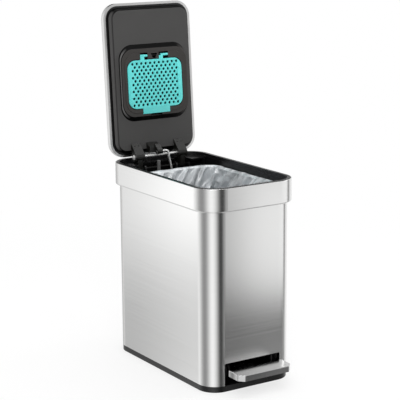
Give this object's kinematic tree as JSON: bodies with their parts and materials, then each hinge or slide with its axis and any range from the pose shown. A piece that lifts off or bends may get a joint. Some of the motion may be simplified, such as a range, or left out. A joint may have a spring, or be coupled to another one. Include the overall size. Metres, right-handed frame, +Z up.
{
  "type": "slim step trash can",
  "caption": "Narrow pedal bin with a rounded steel body, a wider collar, a tall flat lid hinged at the back, a lined bucket and a perforated odour-filter cover in the lid.",
  "frame": {"origin": "on the floor, at the middle of the body's base", "axes": "X across the can, +Y from the pedal at the front to the hinge at the back, +Z up"},
  "size_m": [0.19, 0.3923, 0.6296],
  "materials": {
    "steel_shell": "brushed along the height",
    "steel_lid": "brushed",
    "steel_tread": "brushed",
    "zinc_steel": "zinc plated",
    "bright_rod": "polished",
    "black_plastic": "satin",
    "panel_plastic": "fine satin",
    "bucket_plastic": "satin",
    "cover_plastic": "satin blue-green",
    "grey_plastic": "smooth grey",
    "bag_film": "thin soft film",
    "carbon_fibre": "open felt",
    "foot_rubber": "matt"
  },
  "bodies": {
    "root": {"outer_shell": "steel_shell", "collar_band": "steel_shell", "rim_frame": "black_plastic", "base_tray": "black_plastic", "base_pads": "foot_rubber", "floor_deck": "black_plastic", "deck_screws": "zinc_steel", "inner_bucket": "bucket_plastic", "liner_bag": "bag_film", "hinge_housing": "black_plastic", "housing_screws": "zinc_steel", "hinge_axle": "zinc_steel", "axle_clips": "zinc_steel", "damper_cylinder": "black_plastic", "pedal_pin": "zinc_steel", "pin_clips": "zinc_steel", "pedal_bumper": "foot_rubber"},
    "lid": {"lid_cover": "steel_lid", "lid_liner": "panel_plastic", "hinge_arm_left": "black_plastic", "hinge_arm_right": "black_plastic", "hook_block": "black_plastic", "cross_rod": "bright_rod", "arm_screws": "zinc_steel", "filter_housing": "panel_plastic", "carbon_filter": "carbon_fibre", "cover_pin": "zinc_steel"},
    "filter_cover": {"filter_cover": "cover_plastic"},
    "lift_rod": {"lift_rod": "bright_rod"},
    "damper_plunger": {"damper_plunger": "grey_plastic"},
    "pedal": {"pedal_lever": "zinc_steel", "pad_core": "black_plastic", "pedal_pad": "steel_tread", "pad_screws": "zinc_steel"}
  },
  "joints": [
    {"name": "lid_hinge", "type": "hinge", "parent": "root", "child": "lid", "pos_m": [0, 0.138, 0.3338], "axis": [1, 0, 0], "range_deg": [0, 94.2]},
    {"name": "rod_pivot", "type": "hinge", "parent": "lid", "child": "lift_rod", "pos_m": [0, 0.1315, 0.364], "axis": [1, 0, 0], "range_deg": [-90, 0]},
    {"name": "pedal_pivot", "type": "hinge", "parent": "root", "child": "pedal", "pos_m": [0, -0.097, 0.022], "axis": [1, 0, 0], "range_deg": [-11.1, 0]},
    {"name": "damper_slide", "type": "slide", "parent": "root", "child": "damper_plunger", "axis": [0, 0, 1], "range_m": [-0.022, 0]},
    {"name": "cover_hinge", "type": "hinge", "parent": "lid", "child": "filter_cover", "pos_m": [0, 0.15546, 0.53606], "axis": [1, 0, 0], "range_deg": [-90, 0]}
  ],
  "couplings": [
    {"joint": "rod_pivot", "follows": "lid_hinge", "ratio": -0.95484},
    {"joint": "pedal_pivot", "follows": "lid_hinge", "ratio": -0.11705},
    {"joint": "damper_slide", "follows": "lid_hinge", "m_per_rad": -0.0132}
  ]
}
